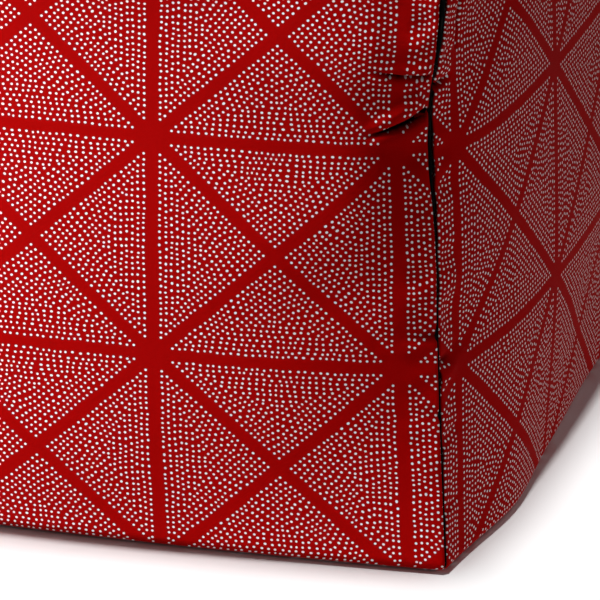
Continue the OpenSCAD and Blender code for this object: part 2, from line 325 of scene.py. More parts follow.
def looseFolds(count):
    # folds of a seam that nothing else settles
    made = []
    for k in range(count):
        h = foldMiddle[0] + 8 + (k + 0.5) * (foldMiddle[1] - foldMiddle[0] - 16) / count
        h += rng.uniform(-5, 5)
        reach = rng.uniform(22, 36)
        made.append({
            "from": (0, h), "to": (reach, h + rng.uniform(-12, 12)), "bow": rng.uniform(-3, 3),
            "depth": rng.uniform(4, 9), "width": rng.uniform(1.2, 1.8), "slope": rng.uniform(5, 14),
            "roll": rng.uniform(0.5, 1.8), "slip": rng.uniform(0.8, 2.0),
        })
    return made


# folds by panel, then by the panel's own edge: 0 left, 1 right, 2 lower, 3 upper
panelFolds = {
    "front": {1: frontRight["front"], 0: looseFolds(2), 3: looseFolds(2)},
    "right": {0: frontRight["right"], 1: looseFolds(2), 3: looseFolds(2)},
    "back": {0: looseFolds(2), 1: looseFolds(2), 3: looseFolds(2)},
    "left": {0: looseFolds(2), 1: looseFolds(2), 3: looseFolds(2)},
    "top": {0: looseFolds(2), 1: looseFolds(2), 2: looseFolds(2), 3: looseFolds(2)},
    "bottom": {},
}


def fromEdge(edge, u, v, width, height):
    # (distance from that edge, place along it), in mm
    if edge == 0:
        return u / mm, v / mm
    if edge == 1:
        return (width - u) / mm, v / mm
    if edge == 2:
        return v / mm, u / mm
    return (height - v) / mm, u / mm


def intoSide(edge, acrossDir, upDir):
    return (acrossDir, -acrossDir, upDir, -upDir)[edge]


foldShape = {
    "thin": 0.35,       # width left at a fold's end, as a share
    "walls": 2.5,       # how squarely the walls of a crease stand
    "most": 3.0,        # most that the cloth round a crease sinks with it, in mm
    "share": 0.3,       # how much of that the cloth above and below takes
    "under": 3.5,       # how far it reaches below the crease, in mm
    "ridge": 0.35,      # height of the ridge below, as a share
    "over": 5,          # how far up the slipping cloth reaches, in mm
    "darkFrom": 0.9,    # depth at which painted shade starts in a crease, in mm
    "darkOver": 1.6,    # how much deeper the painted shade is black
}


def foldMove(fold, s, h):
    # how deep a fold sinks the cloth, how far the cloth above slips down over it, and that direction
    (s0, h0), (s1, h1) = fold["from"], fold["to"]
    along = np.array([s1 - s0, h1 - h0], float)
    length = np.linalg.norm(along)
    along /= length
    t = ((s - s0) * along[0] + (h - h0) * along[1]) / length
    across = (h - h0) * along[0] - (s - s0) * along[1]
    across = across - fold["bow"] * 4 * t * (1 - t)
    fade = np.clip(1 - np.maximum(t, 0), 0, 1) ** 0.8 * np.clip(t * length / 2 + 1, 0, 1)
    width = fold["width"] * (foldShape["thin"] + (1 - foldShape["thin"]) * fade)
    upper, lower = np.maximum(across, 0), np.maximum(-across, 0)
    crease = np.exp(-np.abs(across / width) ** foldShape["walls"])
    above = np.exp(-upper / fold["slope"]) * (across > 0)
    below = np.exp(-lower / foldShape["under"]) * (across <= 0)
    ridge = foldShape["ridge"] * np.exp(-((across + 2.4 * width + 1) / (1.6 * width + 1)) ** 2)
    deep = fold["depth"] * fade
    soft = np.minimum(deep, foldShape["most"])
    roll = fold.get("roll", 0) * fade * np.exp(-((across - 3.2 * width) / (2.2 * width)) ** 2)
    share = foldShape["share"]
    depth = (deep - share * soft) * crease + soft * (share * (above + below) - ridge) - roll
    hanging = np.exp(-upper / foldShape["over"]) * np.clip(1 + across / width, 0, 1)
    return depth, fold.get("slip", 0) * fade * hanging, (along[1], -along[0])


def folded(side, u, v, width, height, acrossDir, upDir, normal):
    total = np.zeros(u.shape + (3,))
    creaseShade = np.zeros(u.shape)        # painted shade: how dark a crease is painted, where no light gets
    for edge, folds in panelFolds[side].items():
        s, h = fromEdge(edge, u, v, width, height)
        sDir = intoSide(edge, acrossDir, upDir)
        hDir = upDir if edge < 2 else acrossDir
        for fold in folds:
            depth, slip, (ds, dh) = foldMove(fold, s, h)
            total += (slip[..., None] * (ds * sDir + dh * hDir) - depth[..., None] * normal) * mm
            # the painted shade grows with the crease's depth
            dark = (depth - foldShape["darkFrom"]) / foldShape["darkOver"]
            creaseShade = np.maximum(creaseShade, np.clip(dark, 0, 1))
    return total, creaseShade


seam = {"radius": 0.7 * mm, "gap": 0.15 * mm, "turn": 135, "flange": 6 * mm, "rounds": 6}
seam["start"] = (1 + math.sqrt(2)) * seam["radius"] + seam["gap"]
hem = {"radius": 0.35 * mm, "turn": 180, "flange": 7 * mm, "rounds": 5, "start": 0}
lines = {"fine": 1.0 * mm, "coarse": 3.1 * mm, "edge": 34 * mm, "samples": 4000, "blend": 60}


def gridLines(low, high, length):
    # places across a panel, close together near its edges and where folds gather
    at = np.linspace(low, high, lines["samples"])
    close = (at < lines["edge"]) | (at > length - lines["edge"])
    close |= (at > foldMiddle[0] * mm) & (at < foldMiddle[1] * mm)
    spread = 2 * lines["blend"] + 1
    padded = np.pad(close.astype(float), lines["blend"], mode="edge")
    soft = np.convolve(padded, np.ones(spread) / spread, "valid")
    density = 1 / lines["coarse"] + soft * (1 / lines["fine"] - 1 / lines["coarse"])
    total = np.concatenate([[0], np.cumsum((density[1:] + density[:-1]) / 2 * np.diff(at))])
    count = int(total[-1])
    return np.interp(np.linspace(0, total[-1], count + 1), total, at)


def turnedLines(low, high, length, lowEdge, highEdge):
    # place on the surface, turning angle, flange length and side of every grid line
    rows = []
    for edge, sign in ((lowEdge, -1), (highEdge, 1)):
        place = low + edge["start"] if sign < 0 else high - edge["start"]
        turned = [(place, math.radians(edge["turn"]) * k / edge["rounds"], 0, sign)
                  for k in range(1, edge["rounds"] + 1)]
        full = math.radians(edge["turn"])
        turned += [(place, full, edge["flange"] * k / 2, sign) for k in (1, 2)]
        rows.append(turned)
    flatRows = [(p, 0, 0, 0) for p in gridLines(low + lowEdge["start"], high - highEdge["start"], length)]
    return np.array(rows[0][::-1] + flatRows + rows[1])


def edgeOffset(rows, lowEdge, highEdge):
    # how far a line goes on along the surface, how far in, and the cloth that takes
    radius = np.where(rows[:, 3] < 0, lowEdge["radius"], highEdge["radius"])
    angle, flange, sign = rows[:, 1], rows[:, 2], rows[:, 3]
    onward = sign * (radius * np.sin(angle) + flange * np.cos(angle))
    inward = radius * (1 - np.cos(angle)) + flange * np.sin(angle)
    cloth = sign * (radius * angle + flange)
    return onward, inward, cloth


# how far each side's cut is shifted on the printed cloth, in mm
cutShift = {"front": (37.4, 0), "right": (2, 3.3), "back": (37.4, 0), "left": (0, 0), "top": (37.4, 30),
            "bottom": (9, 41)}


def unit(v):
    return v / np.maximum(np.linalg.norm(v, axis=-1, keepdims=True), 1e-12)


def surface(side, us, vs):
    # the stuffed side's points on these lines, with its directions across, up and out
    width, height = cover["side"], upLength(side)
    grid = sideGrid(side)
    n = cover["steps"]
    tiny = 0.25 * mm
    place = lambda a, b: np.einsum("ji,ikc->jkc", splineRows(b / height, n),
                                   np.einsum("ki,jic->jkc", splineRows(a / width, n), grid))
    base = place(us, vs)
    acrossDir = unit(place(np.minimum(us + tiny, width), vs) - place(np.maximum(us - tiny, 0), vs))
    upDir = unit(place(us, np.minimum(vs + tiny, height)) - place(us, np.maximum(vs - tiny, 0)))
    normal = unit(np.cross(acrossDir, upDir))
    return base, acrossDir, upDir, normal


def sheetOf(name, columns, rows):
    # a grid mesh, and the column and row of each of its points
    bm = bmesh.new()
    bmesh.ops.create_grid(bm, x_segments=columns, y_segments=rows, size=1)
    mesh = meshFrom(bm, name)
    co = positions(mesh)
    i = np.rint((co[:, 0] + 1) / 2 * columns).astype(int)
    j = np.rint((co[:, 1] + 1) / 2 * rows).astype(int)
    return mesh, i, j


def smooth(mesh):
    mesh.polygons.foreach_set("use_smooth", [True] * len(mesh.polygons))


def makePanel(name, side, low=0.0, high=None, lowHem=False, highHem=False):
    width, height = cover["side"], upLength(side)
    high = height if high is None else high
    vLow, vHigh = (hem if lowHem else seam), (hem if highHem else seam)
    uRows = turnedLines(0, width, width, seam, seam)
    vRows = turnedLines(low, high, height, vLow, vHigh)
    base, acrossDir, upDir, normal = surface(side, uRows[:, 0], vRows[:, 0])
    u, v = np.meshgrid(uRows[:, 0], vRows[:, 0])
    moved, creaseShade = folded(side, u, v, width, height, acrossDir, upDir, normal)
    base = base + moved + normal * gentleWaves(side, u, v)[..., None]
    uOn, uIn, uCloth = edgeOffset(uRows, seam, seam)
    vOn, vIn, vCloth = edgeOffset(vRows, vLow, vHigh)
    points = (base + acrossDir * uOn[None, :, None] + upDir * vOn[:, None, None]
              - normal * (uIn[None, :] + vIn[:, None])[..., None])
    points = points + gapeField(side, u, v, width, height, acrossDir, upDir)
    points[..., 2] = np.maximum(points[..., 2], 0)
    points = tuckedUnder(points)
    mesh, i, j = sheetOf(name, len(uRows) - 1, len(vRows) - 1)
    moveTo(mesh, points[j, i])
    clothU = (uRows[:, 0] + uCloth)[i]
    clothV = (vRows[:, 0] + vCloth)[j]
    addClothMap(mesh, clothU + cutShift[side][0] * mm, clothV + cutShift[side][1] * mm)
    # the painted shade in the creases, kept on each point for the material
    crease = mesh.attributes.new("crease", "FLOAT", "POINT")
    crease.data.foreach_set("value", creaseShade[j, i].astype(np.float32))
    smooth(mesh)
    mesh.update()
    return placed(name, mesh)


def tuckedUnder(points):
    # the lower edge curves in to the seam under it
    r = cover["tuck"]
    z = np.clip(points[..., 2:], 0, r)
    inward = r - np.sqrt(r * r - (r - z) ** 2)
    return points * np.concatenate([1 - inward / half, 1 - inward / half, np.ones_like(inward)], axis=-1)


def addClothMap(mesh, clothU, clothV):
    layer = mesh.uv_layers.new(name="cloth")
    corner = np.empty(len(mesh.loops), np.int32)
    mesh.loops.foreach_get("vertex_index", corner)
    layer.data.foreach_set("uv", np.stack([clothU[corner], clothV[corner]], 1).astype(np.float32).ravel())


# shallow dents that the filling leaves; they fade out towards the seams
dents = {"depth": 0.5 * mm, "size": 0.1, "rim": 0.05,
         "phase": {"front": 0.4, "right": 2.1, "back": 3.3, "left": 4.4, "top": 5.2}}


def gentleWaves(side, u, v):
    if side not in dents["phase"]:
        return np.zeros_like(u)
    phase = dents["phase"][side]
    x, y = u / dents["size"], v / dents["size"]
    waves = np.sin(1.9 * x + 1.1 * y + phase) * np.sin(1.3 * y - 0.7 * x + 2 * phase)
    waves = waves + 0.5 * np.sin(3.1 * y + phase) * np.sin(2.7 * x - 1.7 * y + phase)
    rim = np.minimum(np.minimum(u, cover["side"] - u), np.minimum(v, cover["height"] - v))
    if side == "back":
        rim = np.minimum(rim, v - cover["zipTop"])
    return dents["depth"] * waves * np.clip(rim / dents["rim"], 0, 1)


def gapeField(side, u, v, width, height, acrossDir, upDir):
    # the cloth stands off its seam where the seam is pulled open
    if side not in gapeEdges:
        return 0
    edge = gapeEdges[side]
    s, h = fromEdge(edge, u, v, width, height)
    off = sum(wide * np.exp(-((h - at) / reach) ** 2) for at, reach, wide in gape)
    return (off * mm * np.exp(-s / gapeSpread))[..., None] * intoSide(edge, acrossDir, upDir)


zipEdges = (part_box("back_zip_strip")[1].z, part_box("back_panel")[0].z)

panels = {
    "front_panel": makePanel("cover_front", "front"),
    "right_panel": makePanel("cover_right", "right"),
    "left_panel": makePanel("cover_left", "left"),
    "top_panel": makePanel("cover_top", "top"),
    "bottom_panel": makePanel("cover_bottom", "bottom"),
    "back_panel": makePanel("cover_back", "back", low=zipEdges[1], lowHem=True),
    "back_zip_strip": makePanel("cover_back_strip", "back", high=zipEdges[0], highHem=True),
}
print("panels made", [len(p.data.polygons) for p in panels.values()])


printing = {
    "cell": (109.3 * mm, 101 * mm),     # the printed grid's cell, across and up
    "across": 17.1 * mm,    # first line from a seam
    "below": 5.2 * mm,      # lowest line under the base
    "spacing": 0.0273,      # from dot to dot; this and the next two are shares of a cell
    "dot": 0.0054,          # dot radius
    "first": 0.033,         # from the middle of a line to its first dots
    "ground": (0.40, 0.0004, 0.0004, 1),
    "ink": (0.95, 0.93, 0.93, 1),
    "shade": (0.004, 0.0004, 0.0004, 1),    # painted shade, the colour deep inside a crease
    "slub": 900,            # threads that vary, to the metre
    "patches": 14,          # lighter and darker patches, to the metre
    "thread": 0.42 * mm,    # weave pitch
}


class Nodes:
    # short ways to place and join math nodes
    def __init__(self, tree):
        self.tree = tree

    def add(self, kind, **settings):
        node = self.tree.nodes.new(kind)
        for key, value in settings.items():
            setattr(node, key, value)
        return node

    def link(self, source, target):
        self.tree.links.new(source, target)

    def fill(self, sockets, values):
        for socket, value in zip(sockets, values):
            if isinstance(value, (int, float, tuple)):
                socket.default_value = value
            else:
                self.link(value, socket)

    def math(self, operation, *inputs):
        node = self.add("ShaderNodeMath", operation=operation)
        self.fill(node.inputs, inputs)
        return node.outputs[0]

    def between(self, value, low, high):
        return self.math("MINIMUM", self.math("MAXIMUM", value, low), high)

    def wave(self, turns):
        # runs from 0 to 1 and back with every turn
        swing = self.math("SINE", self.math("MULTIPLY", turns, 2 * math.pi))
        return self.math("MULTIPLY", self.math("ADD", swing, 1.0), 0.5)

    def combine(self, x, y, z=0.0):
        node = self.add("ShaderNodeCombineXYZ")
        self.fill(node.inputs, (x, y, z))
        return node.outputs[0]

    def split(self, vector):
        node = self.add("ShaderNodeSeparateXYZ")
        self.link(vector, node.inputs[0])
        return node.outputs

    def mixColour(self, factor, first, second):
        node = self.add("ShaderNodeMix", data_type="RGBA")
        self.fill([node.inputs[index] for index in (0, 6, 7)], (factor, first, second))
        return node.outputs[2]

    def noise(self, where, scale, detail, dimensions="3D"):
        node = self.add("ShaderNodeTexNoise", noise_dimensions=dimensions)
        node.inputs["Scale"].default_value = scale
        node.inputs["Detail"].default_value = detail
        self.link(where, node.inputs["Vector"])
        return node.outputs

    def relief(self, shader, height, strength, distance):
        bump = self.add("ShaderNodeBump")
        bump.inputs["Strength"].default_value = strength
        bump.inputs["Distance"].default_value = distance
        self.link(height, bump.inputs["Height"])
        self.link(bump.outputs[0], shader.inputs["Normal"])


def lineFamilies(x, y, n):
    # what is constant on a line of each family, the place along it, and the scale to a length
    plus, minus = n.math("ADD", x, y), n.math("SUBTRACT", x, y)
    root = math.sqrt(0.5)
    return [(x, y, 1.0), (y, x, 1.0), (minus, plus, root), (plus, minus, root)]


def dotAt(n, dx, dy, radius):
    distance = n.math("SQRT", n.math("ADD", n.math("MULTIPLY", dx, dx), n.math("MULTIPLY", dy, dy)))
    # the ink's edge is a little soft
    edge = n.math("DIVIDE", n.math("SUBTRACT", radius, distance), 0.22 * radius)
    return n.between(n.math("ADD", edge, 0.5), 0.0, 1.0)


def printedDots(n, x, y):
    # every triangle between the lines is filled by rings of dots, one within the other
    gap, radius, first = printing["spacing"], printing["dot"], printing["first"]
    row = 0.866 * gap       # rows lie closer than dots, as they do where dots stand in triangles
    sharp, square = 1 / math.tan(math.pi / 8), 1.0   # how fast a ring's corners move along its side
    dots = None
    for k, (coordinate, place, scale) in enumerate(lineFamilies(x, y, n)):
        nearest = n.math("ROUND", coordinate)
        off = n.math("MULTIPLY", n.math("SUBTRACT", coordinate, nearest), scale)
        away = n.math("ABSOLUTE", off)
        ring = n.math("MAXIMUM", n.math("ROUND", n.math("DIVIDE", n.math("SUBTRACT", away, first), row)), 0.0)
        depth = n.math("MULTIPLY_ADD", ring, row, first)
        if k < 2:
            segment = n.math("FLOOR", place)
            s = n.math("SUBTRACT", place, segment)
            start, end = n.math("MULTIPLY", depth, sharp), n.math("MULTIPLY_ADD", depth, -sharp, 1.0)
        else:
            # a diagonal runs from a crossing of lines to the middle of a cell and on to the next crossing
            pair = n.math("MULTIPLY", n.math("SUBTRACT", place, nearest), 0.5)
            share = n.math("FRACT", pair)
            segment = n.math("FLOOR", n.math("MULTIPLY", pair, 2.0))
            mirrored = n.math("PINGPONG", n.math("MULTIPLY", share, 2.0), 1.0)
            s = n.math("MULTIPLY", mirrored, scale)
            start, end = n.math("MULTIPLY", depth, sharp), n.math("MULTIPLY_ADD", depth, -square, scale)
        length = n.math("SUBTRACT", end, start)
        count = n.math("MAXIMUM", n.math("ROUND", n.math("DIVIDE", length, gap)), 1.0)
        share = n.math("DIVIDE", n.math("SUBTRACT", s, start), length)
        window = n.math("MULTIPLY", n.math("MULTIPLY", share, n.math("SUBTRACT", 1.0, share)), 4.0)
        window = n.math("MAXIMUM", window, 0.0)
        line = n.math("MULTIPLY_ADD", nearest, 3.0, n.math("SIGN", off))
        # each row drifts along and off its line, by a different noise for each line
        run = n.math("MULTIPLY_ADD", segment, 7.7, n.math("DIVIDE", s, 6 * gap))
        spot = n.combine(run, n.math("MULTIPLY", ring, 0.6), n.math("MULTIPLY_ADD", line, 5.3, 17.0 * k))
        driftRun, driftOff, _ = n.split(n.noise(spot, 1, 0)["Color"])
        # short rows keep still
        still = n.math("MULTIPLY_ADD", count, 1 / 6, -1 / 3)
        window = n.math("MULTIPLY", window, n.between(still, 0.0, 1.0))
        sway = n.math("MULTIPLY", n.math("SUBTRACT", driftRun, 0.5), n.math("MULTIPLY", window, 2.2 * gap))
        moved = n.math("ADD", share, n.math("DIVIDE", sway, length))
        index = n.between(n.math("ROUND", n.math("MULTIPLY", moved, count)), 0.0, count)
        inner = n.math("MINIMUM", n.math("MINIMUM", index, n.math("SUBTRACT", count, index)), 1.0)
        jitter = n.add("ShaderNodeTexWhiteNoise", noise_dimensions="3D")
        spot = n.combine(n.math("MULTIPLY_ADD", segment, 60.0, index),
                         n.math("MULTIPLY_ADD", line, 40.0, ring), float(k))
        n.link(spot, jitter.inputs["Vector"])
        shiftRun, shiftOff, _ = n.split(jitter.outputs["Color"])
        along = n.math("MULTIPLY", n.math("SUBTRACT", n.math("DIVIDE", index, count), moved), length)
        shift = n.math("MULTIPLY", n.math("SUBTRACT", shiftRun, 0.5), n.math("MULTIPLY", inner, 0.22 * gap))
        along = n.math("ADD", along, shift)
        wobble = n.math("MULTIPLY", n.math("SUBTRACT", shiftOff, 0.5), n.math("MULTIPLY", inner, 0.18 * gap))
        wave = n.math("MULTIPLY", n.math("SUBTRACT", driftOff, 0.5),
                      n.math("MULTIPLY", n.math("MULTIPLY", window, inner), 0.3 * gap))
        across = n.math("SUBTRACT", n.math("SUBTRACT", away, depth), n.math("ADD", wobble, wave))
        dot = dotAt(n, along, across, radius)
        dot = n.math("MULTIPLY", dot, n.math("GREATER_THAN", length, 0.6 * gap))
        dots = dot if dots is None else n.math("MAXIMUM", dots, dot)
    return dots


def newMaterial(name, roughness, **sockets):
    material = bpy.data.materials.new(name)
    material.use_nodes = True
    shader = material.node_tree.nodes["Principled BSDF"]
    shader.inputs["Roughness"].default_value = roughness
    for key, value in sockets.items():
        shader.inputs[key.replace("_", " ")].default_value = value
    return material, Nodes(material.node_tree), shader


def clothCoordinates(n):
    source = n.add("ShaderNodeUVMap", uv_map="cloth")
    u, v, _ = n.split(source.outputs[0])
    return u, v


def weaveHeight(n, u, v, pitch):
    # plain weave: warp and weft pass over each other in turn
    wave = lambda t, shift: n.math("SINE", n.math("ADD", n.math("MULTIPLY", t, math.pi / pitch), shift))
    warp, weft = n.math("ABSOLUTE", wave(u, 0)), n.math("ABSOLUTE", wave(v, 0))
    over = n.math("MULTIPLY", wave(u, math.pi / 2), wave(v, math.pi / 2))
    swap = n.math("GREATER_THAN", over, 0)
    keep = n.math("SUBTRACT", 1.0, swap)
    return n.math("ADD", n.math("MULTIPLY", warp, swap), n.math("MULTIPLY", weft, keep))


def printedCloth():
    material, n, shader = newMaterial("printed_cotton", 0.86, Sheen_Weight=0.05, Sheen_Roughness=0.5,
                                      Sheen_Tint=(1, 0.05, 0.05, 1), Specular_Tint=(1, 0.04, 0.04, 1))
    shader.inputs["Specular IOR Level"].default_value = 0.1
    u, v = clothCoordinates(n)
    x = n.math("DIVIDE", n.math("SUBTRACT", u, printing["across"]), printing["cell"][0])
    y = n.math("DIVIDE", n.math("ADD", v, printing["below"]), printing["cell"][1])
    dots = printedDots(n, x, y)
    # the ground's red varies a little from thread to thread
    slub = n.noise(n.combine(u, v), printing["slub"], 2, "2D")["Fac"]
    patches = n.noise(n.combine(u, v), printing["patches"], 2, "2D")["Fac"]
    tone = n.math("ADD", n.math("MULTIPLY", slub, 0.5), n.math("MULTIPLY", patches, 0.5))
    r, g, b, _ = printing["ground"]
    ground = n.mixColour(tone, (0.86 * r, g, b, 1), (1.12 * r, g, b, 1))
    ink = n.math("MULTIPLY", dots, n.math("ADD", 0.92, n.math("MULTIPLY", slub, 0.14)))
    # painted shade: deep creases are darkened towards black
    crease = n.add("ShaderNodeAttribute", attribute_name="crease")
    printed = n.mixColour(ink, ground, printing["ink"])
    n.link(n.mixColour(crease.outputs["Fac"], printed, printing["shade"]), shader.inputs["Base Color"])
    height = n.math("ADD", weaveHeight(n, u, v, printing["thread"]), n.math("MULTIPLY", dots, 0.25))
    n.relief(shader, height, 0.35, 0.12 * mm)
    return material


printedCotton = printedCloth()
for node, panel in panels.items():
    panel.data.materials.append(printedCotton)
    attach(panel, "pouf")
    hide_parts(node)
print("cloth printed")


# the overlock's near-black colour is partly its thread and partly painted shade, for the shadow deep in the
# seam gap
overlock = {"bead": 0.75 * mm, "depth": 8 * mm, "ply": 0.8 * mm, "ends": 3 * mm, "pitch": 1.6 * mm,
            "colour": (0.0010, 0.0009, 0.0009, 1)}
seamEdges = {
    "seam_front_right": ("front", 1), "seam_front_left": ("front", 0),
    "seam_back_right": ("back", 0), "seam_back_left": ("back", 1),
    "seam_top_front": ("top", 2), "seam_top_right": ("top", 1),
    "seam_top_back": ("top", 3), "seam_top_left": ("top", 0),
    "seam_bottom_front": ("bottom", 3), "seam_bottom_right": ("bottom", 1),
    "seam_bottom_back": ("bottom", 2), "seam_bottom_left": ("bottom", 0),
}


def threadCloth(name, colour):
    material, n, shader = newMaterial(name, 0.95)
    shader.inputs["Specular IOR Level"].default_value = 0.05
    u, v = clothCoordinates(n)
    # painted shade: the thread is darker where its twist sinks, following the same twist as the bump
    slant = n.math("ADD", u, n.math("MULTIPLY", v, 1.6))
    lift = n.wave(n.math("DIVIDE", slant, overlock["pitch"]))
    dark = tuple(0.5 * c for c in colour[:3]) + (1,)
    n.link(n.mixColour(lift, dark, colour), shader.inputs["Base Color"])
    n.relief(shader, lift, 0.6, 0.25 * mm)
    return material


def makeSeam(name, side, edge):
    # the two raw edges of a seam, overlocked together, as one strip with a bead along it
    width, height = cover["side"], upLength(side)
    run = height if edge in (0, 1) else width
    along = gridLines(overlock["ends"], run - overlock["ends"], run)
    fixed = np.array([0.0 if edge in (0, 2) else (width if edge == 1 else height)])
    us, vs = (fixed, along) if edge in (0, 1) else (along, fixed)
    base, acrossDir, upDir, normal = (a.reshape(-1, 3) for a in surface(side, us, vs))
    inFace = intoSide(edge, acrossDir, upDir)
    inward = unit(inFace - normal)
    lean = unit(inFace + normal)
    deep = seam["radius"] * (1 + math.sqrt(0.5)) * math.sqrt(2)
    bead, reach, ply = overlock["bead"], overlock["depth"], overlock["ply"]
    arc = np.radians(np.linspace(-150, 150, 9))
    outline = [(deep - bead * math.cos(a), bead * math.sin(a)) for a in arc]
    outline += [(deep + reach, ply / 2), (deep + reach, -ply / 2)]
    mesh, i, j = sheetOf(name, len(outline), len(along) - 1)
    loop = np.array(outline + outline[:1])
    points = base[j] + inward[j] * loop[i, :1] + lean[j] * loop[i, 1:]
    points[:, 2] = np.maximum(points[:, 2], 0.1 * mm)
    moveTo(mesh, tuckedUnder(points))
    addClothMap(mesh, i * 0.5 * mm, along[j])
    bm = bmesh.new()
    bm.from_mesh(mesh)
    bmesh.ops.remove_doubles(bm, verts=bm.verts, dist=1e-6)
    bmesh.ops.holes_fill(bm, edges=bm.edges, sides=0)
    bmesh.ops.recalc_face_normals(bm, faces=bm.faces)
    bm.to_mesh(mesh)
    bm.free()
    smooth(mesh)
    return mesh


def addPiece(name, mesh, material, replaced=(), body="pouf"):
    piece = placed(name, mesh)
    mesh.materials.clear()
    mesh.materials.append(material)
    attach(piece, body)
    if replaced:
        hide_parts(*replaced)
    return piece


# painted shade: the near-black overlock stands in for the shadow in each seam's gap
overlockWithSeamShade = threadCloth("overlock_with_painted_seam_shade", overlock["colour"])
seams = {name: addPiece(name + "_thread", makeSeam(name, side, edge), overlockWithSeamShade, [name])
         for name, (side, edge) in seamEdges.items()}
print("seams sewn")


def grained(n, shader, scale, distance, strength, detail=2):
    grain = n.noise(n.add("ShaderNodeTexCoord").outputs["Object"], scale, detail)["Fac"]
    n.relief(shader, grain, strength, distance)
    return grain


def shaded(n, shader, factor, dark, light):
    n.link(n.mixColour(factor, dark, light), shader.inputs["Base Color"])


def herringboneTape():
    material, n, shader = newMaterial("herringbone_tape", 0.82, Sheen_Weight=0.1)
    u, v = clothCoordinates(n)
    # the twill turns back on itself every 2.6 mm
    rib = n.math("ABSOLUTE", n.math("SUBTRACT", n.math("FRACT", n.math("DIVIDE", v, 2.6 * mm)), 0.5))
    slant = n.math("ADD", n.math("DIVIDE", u, 0.9 * mm), n.math("MULTIPLY", rib, 2.8))
    wale = n.wave(slant)
    # painted shade: the tape is darker between its wales, following the same wales as the bump
    shaded(n, shader, wale, (0.085, 0.002, 0.002, 1), (0.22, 0.006, 0.006, 1))
    n.relief(shader, wale, 0.5, 0.15 * mm)
    return material


def mouldedTeeth():
    material, n, shader = newMaterial("moulded_teeth", 0.42, Coat_Weight=0.15)
    grain = grained(n, shader, 900, 0.05 * mm, 0.35)
    shaded(n, shader, grain, (0.19, 0.004, 0.004, 1), (0.30, 0.010, 0.010, 1))
    return material


def platedMetal():
    material, n, shader = newMaterial("plated_metal", 0.28, Metallic=1)
    grain = grained(n, shader, 420, 0.04 * mm, 0.4, 4)
    shaded(n, shader, grain, (0.50, 0.48, 0.45, 1), (0.68, 0.66, 0.62, 1))
    rough = n.math("ADD", 0.2, n.math("MULTIPLY", grain, 0.2))
    n.link(rough, shader.inputs["Roughness"])
    return material


def redThread():
    material, n, shader = newMaterial("red_thread", 0.6, Sheen_Weight=0.2)
    where = n.add("ShaderNodeTexCoord")
    x, _, z = n.split(where.outputs["Object"])
    lift = n.wave(n.math("DIVIDE", n.math("ADD", x, z), 0.5 * mm))
    # painted shade: the stitches are darker where their twist sinks, following the same twist as the bump
    shaded(n, shader, lift, (0.16, 0.002, 0.002, 1), (0.42, 0.008, 0.008, 1))
    n.relief(shader, lift, 0.5, 0.08 * mm)
    return material


def nonwoven():
    material, n, shader = newMaterial("nonwoven_liner", 0.9, Sheen_Weight=0.1)
    where = n.add("ShaderNodeTexCoord")
    cells = n.add("ShaderNodeTexVoronoi")
    cells.inputs["Scale"].default_value = 380
    cells.inputs["Randomness"].default_value = 0.1
    n.link(where.outputs["Object"], cells.inputs["Vector"])
    fibres = n.noise(where.outputs["Object"], 300, 6)["Fac"]
    height = n.math("ADD", cells.outputs["Distance"], n.math("MULTIPLY", fibres, 0.4))
    shaded(n, shader, fibres, (0.66, 0.66, 0.63, 1), (0.88, 0.88, 0.85, 1))
    n.relief(shader, height, 0.5, 0.3 * mm)
    return material


def looseFill():
    material, n, shader = newMaterial("loose_fill", 0.95, Sheen_Weight=0.3)
    tufts = grained(n, shader, 160, 2 * mm, 0.8, 6)
    shaded(n, shader, tufts, (0.74, 0.74, 0.71, 1), (0.93, 0.93, 0.91, 1))
    return material


zipFinish = {"tapeCell": 1.5 * mm, "ripple": 0.1 * mm, "rippleAcross": 11 * mm, "rippleUp": 4 * mm,
             "bevel": 0.16 * mm, "tabBevel": 0.25 * mm,
             "tabEnd": 213.4 * mm}      # past this a tab is caught in the corner seam
tapeCloth, teethPlastic, metal, sewingThread = herringboneTape(), mouldedTeeth(), platedMetal(), redThread()


def clothMapFromPlace(mesh):
    co = positions(mesh)
    addClothMap(mesh, co[:, 0], co[:, 2])


def makeTape(name, node):
    low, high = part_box(node)
    size = high - low
    across = max(2, round(size.x / zipFinish["tapeCell"]))
    bm = bmesh.new()
    bmesh.ops.create_grid(bm, x_segments=across, y_segments=10, size=0.5)
    bmesh.ops.scale(bm, vec=(size.x, size.z, 1), verts=bm.verts)
    bmesh.ops.rotate(bm, cent=(0, 0, 0), matrix=turnUp, verts=bm.verts)
    middle = (low + high) / 2
    bmesh.ops.translate(bm, vec=middle, verts=bm.verts)
    for vert in bm.verts:
        vert.co.y += zipFinish["ripple"] * (
            math.sin(vert.co.x / zipFinish["rippleAcross"]) * math.sin(vert.co.z / zipFinish["rippleUp"]))
    bmesh.ops.recalc_face_normals(bm, faces=bm.faces)
    bmesh.ops.solidify(bm, geom=bm.faces[:], thickness=size.y - 2.5 * zipFinish["ripple"])
    drift = middle.y - sum(v.co.y for v in bm.verts) / len(bm.verts)
    bmesh.ops.translate(bm, vec=(0, drift, 0), verts=bm.verts)
    bmesh.ops.recalc_face_normals(bm, faces=bm.faces)
    mesh = meshFrom(bm, name)
    clothMapFromPlace(mesh)
    return mesh


